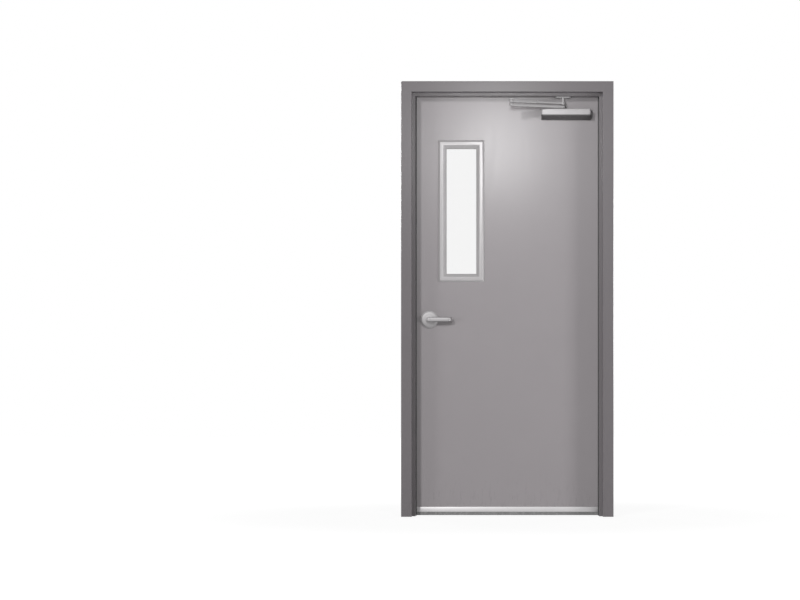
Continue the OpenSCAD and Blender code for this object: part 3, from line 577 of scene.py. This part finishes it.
# %% Hinge, strike and latch screws
SCREW_R = 4.6 * MM
SCREW_H = 0.5 * MM
HINGE_GAP = 5 * MM
LEAF_W = 39 * MM
ZIGZAG = ((0.1, 0.62), (0.37, 0.3), (0.63, 0.3), (0.9, 0.62))
SMALL_SCREW = (3.6 * MM, 0.5 * MM)
STRIKE_THICK = 1.5 * MM
STRIKE_HALF = 52 * MM
LATCH_HALF = 22 * MM
hinge_screw = cross_screw(SCREW_R, SCREW_H)


def leaf_spots(suffix, way):
    """Four zigzag places in each of three leaves, on the face that looks along way."""
    spots = []
    for place in ("top", "middle", "bottom"):
        low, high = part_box(place + "_hinge_" + suffix)
        face_x = (low.x + high.x) / 2 - way * HINGE_GAP / 2
        for up, across in ZIGZAG:
            spot = (face_x, low.y + across * LEAF_W, low.z + up * (high.z - low.z))
            spots.append((spot, (way, 0, 0)))
    return spots


jamb_spots = leaf_spots("frame_leaf", -1)
door_spots = leaf_spots("door_leaf", 1)
row_of(hinge_screw, "jamb_hinge_screws", "frame", "satin_steel", jamb_spots)
row_of(hinge_screw, "door_hinge_screws", "leaf", "satin_steel", door_spots)

small_screw = cross_screw(*SMALL_SCREW)
strike_low, strike_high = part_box("strike_plate")
strike_mid_z = (strike_low.z + strike_high.z) / 2
strike_mid_y = sum(corner.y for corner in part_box("latch_front")) / 2
strike_face_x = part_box("strike_box")[1].x + STRIKE_THICK
strike_spots = [
    ((strike_face_x, strike_mid_y, strike_mid_z + side * STRIKE_HALF), (1, 0, 0)) for side in (-1, 1)
]
row_of(small_screw, "strike_screws", "frame", "satin_steel", strike_spots)
latch_face_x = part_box("latch_front")[0].x
latch_spots = [
    ((latch_face_x, strike_mid_y, strike_mid_z + side * LATCH_HALF), (-1, 0, 0)) for side in (-1, 1)
]
row_of(small_screw, "latch_screws", "leaf", "satin_steel", latch_spots)

# %% [markdown]
# The window's frame is screwed together from the pull side only, so that nobody can take it off
# from the other side. The sweep and the closer's shoe have small screws too.

# %% Window, sweep and shoe screws
RIDGE_IN = 15.5 * MM
LITE_SHARES = (0.12, 0.37, 0.63, 0.88)
TINY_SCREW = (2.4 * MM, 0.4 * MM)
SWEEP_SCREWS = 5
SWEEP_DROP = 5 * MM
PAN_SCREW = (4 * MM, 2.2 * MM)
SHOE_HALF = 26 * MM
SHOE_DROP = 6 * MM

lite_low, lite_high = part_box("pull_lite_frame")
x_sides = (lite_low.x + RIDGE_IN, lite_high.x - RIDGE_IN)
z_sides = (lite_low.z + RIDGE_IN, lite_high.z - RIDGE_IN)
lite_spots = [
    ((x, lite_high.y, lite_low.z + share * (lite_high.z - lite_low.z)), (0, 1, 0))
    for x in x_sides
    for share in LITE_SHARES
]
lite_spots += [(((lite_low.x + lite_high.x) / 2, lite_high.y, z), (0, 1, 0)) for z in z_sides]
row_of(small_screw, "lite_screws", "leaf", "satin_steel", lite_spots)

holder_low, holder_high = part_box("sweep_holder")
tiny_screw = cross_screw(*TINY_SCREW)
sweep_xs = [
    holder_low.x + (k + 0.5) / SWEEP_SCREWS * (holder_high.x - holder_low.x)
    for k in range(SWEEP_SCREWS)
]
sweep_spots = [((x, holder_low.y, holder_high.z - SWEEP_DROP), (0, -1, 0)) for x in sweep_xs]
row_of(tiny_screw, "sweep_screws", "leaf", "sweep_aluminium", sweep_spots)
shoe_low, shoe_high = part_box("closer_shoe")
shoe_mid = (shoe_low + shoe_high) / 2
pan_screw = cross_screw(*PAN_SCREW)
shoe_spots = [
    ((shoe_mid.x + side * SHOE_HALF, shoe_mid.y, shoe_high.z - SHOE_DROP), (0, 0, -1))
    for side in (-1, 1)
]
row_of(pan_screw, "shoe_screws", "frame", "closer_paint", shoe_spots)
for maker in (hinge_screw, small_screw, tiny_screw, pan_screw):
    bpy.data.objects.remove(maker)

# %% [markdown]
# ## Painted shadow line
# A thin, nearly black rubber strip stands along the stop on both jambs, just in front of the door's
# face. It is a painted shadow: it draws the dark line of shade in the gap at both sides of a shut door.
# Each strip is a bar with a rounded nose, made from a cube whose edges are bevelled.

# %% Painted shadow line
LINE_PROUD = 5 * MM
LINE_DEEP = 12 * MM
LINE_GAP = 2 * MM
NOSE_SHARE = 0.3
FLOOR_CLEAR = 1 * MM

skin_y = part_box("push_skin")[0].y
strike_stop_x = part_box("strike_jamb")[1].x
hinge_stop_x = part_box("hinge_jamb")[0].x
soffit_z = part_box("head")[0].z
shadow_line_y = (skin_y - LINE_GAP - LINE_DEEP, skin_y - LINE_GAP)
floor_z = cad_box[0].z + FLOOR_CLEAR
SHADOW_LINES = {
    "strike_shadow_line": ((strike_stop_x, floor_z), (strike_stop_x + LINE_PROUD, soffit_z)),
    "hinge_shadow_line": ((hinge_stop_x - LINE_PROUD, floor_z), (hinge_stop_x, soffit_z)),
}


# One dark strip that paints the shadow in the gap between a stop and the door's face.
def make_shadow_line(name, low, high):
    size = Vector((high[0] - low[0], LINE_DEEP, high[1] - low[1]))
    middle = Vector(((low[0] + high[0]) / 2, sum(shadow_line_y) / 2, (low[1] + high[1]) / 2))
    bpy.ops.object.select_all(action="DESELECT")
    bpy.ops.mesh.primitive_cube_add(size=1)
    strip = bpy.context.active_object
    strip.name = name
    strip.data.transform(Matrix.Translation(middle) @ Matrix.Diagonal((*size, 1)))
    add_modifier(
        strip, "BEVEL", width=LINE_PROUD * NOSE_SHARE, segments=3, limit_method="ANGLE",
        angle_limit=math.radians(60),
    )
    bpy.ops.object.shade_smooth_by_angle(angle=math.radians(35))
    strip.data.materials.append(shadow_line_rubber)
    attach(strip, "frame")
    return strip


for name, (low, high) in SHADOW_LINES.items():
    print(make_shadow_line(name, low, high).name, "made")

# %% [markdown]
# ## Roses
# A rose is a turned disc. It starts as a many-sided cylinder whose top face is inset and lifted
# ring by ring, which is how the rim, the shallow dome and the collar of the real one are turned.
# A bore through the middle leaves room for the lever's neck.

# %% Roses
ROSE_SIDES = 96
BORE_R = 10.5 * MM
PLATE_H = 1.5 * MM
RIM = ((0.3 * MM, 1.1 * MM), (0.7 * MM, 0.9 * MM), (1.5 * MM, 0.5 * MM), (1.4 * MM, 0.0))
COLLAR = ((0.3 * MM, 0.1 * MM), (0.2 * MM, 2.1 * MM), (0.4 * MM, 0.3 * MM))
DOME_IN = 21 * MM
DOME_DROP = 6.5 * MM
DOME_STEPS = 6


def lift_rings(piece, steps):
    """Insets the top face and lifts it, once for each (inset, lift)."""
    select_only(piece)
    bpy.ops.object.mode_set(mode="EDIT")
    bpy.ops.mesh.select_mode(type="FACE")
    bpy.ops.mesh.select_all(action="DESELECT")
    bpy.ops.object.mode_set(mode="OBJECT")
    top = max(piece.data.polygons, key=lambda face: face.center.z)
    top.select = True
    bpy.ops.object.mode_set(mode="EDIT")
    for inset, lift in steps:
        bpy.ops.mesh.inset(thickness=inset, depth=0)
        bpy.ops.transform.translate(value=(0, 0, lift))
    bpy.ops.object.mode_set(mode="OBJECT")


def dressed_rose(node, outward):
    low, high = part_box(node)
    centre = (low + high) / 2
    radius = (high.x - low.x) / 2
    rise = high.y - low.y
    bpy.ops.object.select_all(action="DESELECT")
    bpy.ops.mesh.primitive_cylinder_add(
        vertices=ROSE_SIDES, radius=radius, depth=PLATE_H, location=(0, 0, PLATE_H / 2)
    )
    piece = bpy.context.active_object
    piece.name = node + "_turned"
    bpy.ops.object.transform_apply(location=True)
    dome_w = radius - DOME_IN
    dome_h = rise - DOME_DROP
    dome = []
    for k in range(DOME_STEPS):
        a, b = (math.radians(90 * q / DOME_STEPS) for q in (k, k + 1))
        dome.append((dome_w * (math.cos(a) - math.cos(b)), dome_h * (math.sin(b) - math.sin(a))))
    lift_rings(piece, [*RIM, *dome, *COLLAR])
    bpy.ops.mesh.primitive_cylinder_add(vertices=ROSE_SIDES, radius=BORE_R, depth=4 * rise)
    bore = bpy.context.active_object
    select_only(piece)
    add_modifier(piece, "BOOLEAN", operation="DIFFERENCE", object=bore, solver="EXACT")
    bpy.data.objects.remove(bore)
    top = max(vertex.co.z for vertex in piece.data.vertices)
    turn = Vector((0, 0, 1)).rotation_difference(Vector((0, outward, 0))).to_matrix().to_4x4()
    size = Matrix.Diagonal((1, 1, rise / top, 1))
    base_y = low.y if outward > 0 else high.y
    piece.data.transform(Matrix.Translation((centre.x, base_y, centre.z)) @ turn @ size)
    select_only(piece)
    bpy.ops.object.shade_smooth_by_angle(angle=math.radians(40))
    stand_for(piece, node)
    return piece


for node, outward in (("push_rose", -1), ("pull_rose", 1)):
    print(dressed_rose(node, outward).name)

# %% [markdown]
# ## Levers
# A lever is one bar: a round neck that comes straight out of the rose, a grip with a nearly flat
# face, and a return that bends back so that nothing catches on its end. The grip's section is a
# superellipse, which is flatter than an ellipse. It is extruded ring by ring, and a subdivision
# rounds the steps.

# %% Levers
RING_SIDES = 16
SECTION_POWER = 0.55
GRIP_THICK = 13 * MM
RETURN_BEND = 12 * MM
NECK_R = 10 * MM
NECK_SIDES = 48
NECK_SOFT = 2.5 * MM
SEED_LONG = 3 * MM
SEED_IN = 2 * MM
SEED_RUN = 6 * MM
GRIP_STEPS = 6
BEND_STEPS = 4
TIP_STEPS = ((5 * MM, 0.98), (5 * MM, 0.96), (2 * MM, 0.85))


def end_face(piece, direction):
    """Selects only the face that looks most along the direction and lies furthest that way."""
    bpy.ops.object.mode_set(mode="EDIT")
    bpy.ops.mesh.select_mode(type="FACE")
    bpy.ops.mesh.select_all(action="DESELECT")
    bpy.ops.object.mode_set(mode="OBJECT")
    way = Vector(direction)
    best = max(piece.data.polygons, key=lambda face: (round(face.normal @ way, 2), face.center @ way))
    best.select = True
    bpy.ops.object.mode_set(mode="EDIT")


def extrude_by(shift, resize=None, turn=None):
    """Extrudes the selected face, moves it and then resizes or turns it about its own middle."""
    bpy.ops.mesh.extrude_region_move(TRANSFORM_OT_translate={"value": shift})
    if resize:
        bpy.ops.transform.resize(value=resize)
    if turn:
        angle, centre = turn
        bpy.ops.transform.rotate(value=angle, orient_axis="Z", center_override=centre)


def flatten_section(piece, thick, tall, mid_y):
    """Turns the round ring into a superellipse, thick along Y and tall along Z."""
    for vertex in piece.data.vertices:
        across, up = vertex.co.y - mid_y, vertex.co.z
        across = math.copysign(abs(2 * across) ** SECTION_POWER, across)
        up = math.copysign(abs(2 * up) ** SECTION_POWER, up)
        vertex.co.y = mid_y + across * thick / 2
        vertex.co.z = up * tall / 2


def fill_box(piece, low, high):
    """Stretches the piece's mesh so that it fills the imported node's box exactly."""
    points = [vertex.co for vertex in piece.data.vertices]
    least = Vector([min(point[axis] for point in points) for axis in range(3)])
    most = Vector([max(point[axis] for point in points) for axis in range(3)])
    stretch = [(high[axis] - low[axis]) / (most[axis] - least[axis]) for axis in range(3)]
    size = Matrix.Diagonal(stretch + [1])
    piece.data.transform(Matrix.Translation(low) @ size @ Matrix.Translation(-least))


def dressed_lever(node, outward):
    low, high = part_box(node)
    spindle_low, spindle_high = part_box("lever_spindle")
    grip_h = high.z - low.z
    out = high.y - low.y
    mid_y = out - GRIP_THICK / 2
    reach = high.x - (spindle_low.x + spindle_high.x) / 2 - GRIP_THICK / 2
    bpy.ops.object.select_all(action="DESELECT")
    bpy.ops.mesh.primitive_cylinder_add(
        vertices=RING_SIDES, radius=0.5, depth=SEED_LONG, end_fill_type="NGON",
        rotation=(0, math.radians(90), 0), location=(-NECK_R + SEED_IN, mid_y, 0),
    )
    piece = bpy.context.active_object
    piece.name = node + "_swept"
    bpy.ops.object.transform_apply(location=True, rotation=True)
    flatten_section(piece, GRIP_THICK * 0.8, grip_h * 0.8, mid_y)
    end_face(piece, (1, 0, 0))
    extrude_by((SEED_LONG, 0, 0), resize=(1, 1.25, 1.25))
    grip_step = (reach - RETURN_BEND + NECK_R - SEED_RUN) / GRIP_STEPS
    for _ in range(GRIP_STEPS):
        extrude_by((grip_step, 0, 0), resize=(1, 1, 0.985))
    centre = (reach - RETURN_BEND, mid_y - RETURN_BEND, 0)
    for _ in range(BEND_STEPS):
        extrude_by((0, 0, 0), turn=(math.radians(90 / BEND_STEPS), centre))
    for length, resize in TIP_STEPS:
        extrude_by((0, -length, 0), resize=(resize, 1, resize))
    bpy.ops.object.mode_set(mode="OBJECT")
    select_only(piece)
    add_modifier(piece, "SUBSURF", levels=2, render_levels=2)
    bpy.ops.mesh.primitive_cylinder_add(
        vertices=NECK_SIDES, radius=NECK_R, depth=out, rotation=(math.radians(90), 0, 0),
        location=(0, out / 2, 0),
    )
    neck = bpy.context.active_object
    bpy.ops.object.transform_apply(location=True, rotation=True)
    add_modifier(
        neck, "BEVEL", width=NECK_SOFT, segments=4, limit_method="ANGLE",
        angle_limit=math.radians(60),
    )
    piece.select_set(True)
    bpy.context.view_layer.objects.active = piece
    bpy.ops.object.join()
    piece.data.transform(Matrix.Diagonal((1, outward, 1, 1)))
    fill_box(piece, low, high)
    bpy.ops.object.mode_set(mode="EDIT")
    bpy.ops.mesh.select_all(action="SELECT")
    bpy.ops.mesh.normals_make_consistent(inside=False)
    bpy.ops.object.mode_set(mode="OBJECT")
    bpy.ops.object.shade_smooth_by_angle(angle=math.radians(40))
    stand_for(piece, node)
    return piece


for node, outward in (("push_lever", -1), ("pull_lever", 1)):
    lever = dressed_lever(node, outward)
    print(lever.name, len(lever.data.polygons), "faces")

# %% [markdown]
# ## Closer hardware
# A hexagon nut holds the elbow together, and a clamp bolt fixes the forearm's length. Both are
# six-sided cylinders whose corners are rounded by a bevel, as a real nut is chamfered.

# %% Nuts
NUT_SOFT = 0.5 * MM
ELBOW_IN = 12 * MM
ELBOW_NUT = (13 * MM, 4 * MM)
CLAMP_BOLT = (8 * MM, 3.5 * MM)


def hexagon(name, across, height, spot, body):
    bpy.ops.object.select_all(action="DESELECT")
    bpy.ops.mesh.primitive_cylinder_add(
        vertices=6, radius=across / math.sqrt(3), depth=height, location=(0, 0, height / 2)
    )
    nut = bpy.context.active_object
    nut.name = name
    bpy.ops.object.transform_apply(location=True)
    end_face(nut, (0, 0, 1))
    bpy.ops.mesh.inset(thickness=across * 0.2, depth=0)
    bpy.ops.mesh.extrude_region_move(TRANSFORM_OT_translate={"value": (0, 0, height * 0.3)})
    bpy.ops.object.mode_set(mode="OBJECT")
    select_only(nut)
    add_modifier(
        nut, "BEVEL", width=NUT_SOFT, segments=2, limit_method="ANGLE",
        angle_limit=math.radians(40),
    )
    nut.data.transform(Matrix.Translation(Vector(spot)))
    bpy.ops.object.shade_smooth_by_angle(angle=math.radians(30))
    nut.data.materials.clear()
    nut.data.materials.append(screw_steel)
    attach(nut, body)
    return nut


arm_low, arm_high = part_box("main_arm")
sleeve_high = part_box("forearm_sleeve")[1]
elbow = Vector((arm_low.x + ELBOW_IN, arm_low.y + ELBOW_IN, arm_high.z))
print(hexagon("elbow_nut", *ELBOW_NUT, elbow, "closer_arm").name)
clamp = Vector(((shoe_mid.x + elbow.x) / 2, (shoe_mid.y + elbow.y) / 2, sleeve_high.z))
print(hexagon("forearm_clamp", *CLAMP_BOLT, clamp, "closer_forearm").name)

# %% [markdown]
# ## Floor and room
# The floor is white and keeps the soft shadow at the door's foot. The room is white where the
# camera, the gloss or the glass sees it, and a plain soft grey as light. A light path mask tells
# the two apart.

# %% Floor and world
FLOOR_SIZE = 30
FLOOR_GLOW = 0.82
GLOW_STRENGTH = 1.1
PAPER_GREY = 0.75
SHADOW_NEAR = 0.9
SHADOW_FAR = 2.6


def seen_directly(nodes):
    """1 for a ray from the camera, a mirror or glass, and 0 for light that spreads."""
    camera_ray, gloss_ray, glass_ray = (
        nodes.node("LightPath", out="Is %s Ray" % kind) for kind in ("Camera", "Glossy", "Transmission")
    )
    mirrored = camera_ray.maths("MAXIMUM", camera_ray, gloss_ray)
    return mirrored.maths("MAXIMUM", mirrored, glass_ray)


floor_finish = Finish("floor_white")
paper = floor_finish.node("BsdfDiffuse", None, {"Color": grey(PAPER_GREY)})
glow = floor_finish.node("Emission", None, {"Color": (1, 1, 1, 1), "Strength": GLOW_STRENGTH})
away = floor_finish.node("VectorMath", {"operation": "LENGTH"}, {0: floor_finish.place}, out="Value")
far = away.above(SHADOW_NEAR, SHADOW_FAR)
share = seen_directly(floor_finish) * (FLOOR_GLOW + far * (1 - FLOOR_GLOW))
mixed = floor_finish.node("MixShader", None, {0: share, 1: paper, 2: glow})
floor_finish.node("OutputMaterial", None, {"Surface": mixed})
bpy.ops.object.select_all(action="DESELECT")
bpy.ops.mesh.primitive_plane_add(size=FLOOR_SIZE, location=(door_mid_x, 0, cad_box[0].z))
floor = bpy.context.active_object
floor.name = "floor"
floor.data.materials.append(floor_finish.material)

ROOM_LIGHT = 0.04
ROOM_WHITE = 1.0
world = bpy.data.worlds.new("white_room")
bpy.context.scene.world = world
room = Nodes(world)
lit = room.node("Background", None, {"Color": (1, 1, 1, 1), "Strength": ROOM_LIGHT})
white = room.node("Background", None, {"Color": (1, 1, 1, 1), "Strength": ROOM_WHITE})
both = room.node("MixShader", None, {0: seen_directly(room), 1: lit, 2: white})
room.node("OutputWorld", None, {"Surface": both})
print("floor and world made")
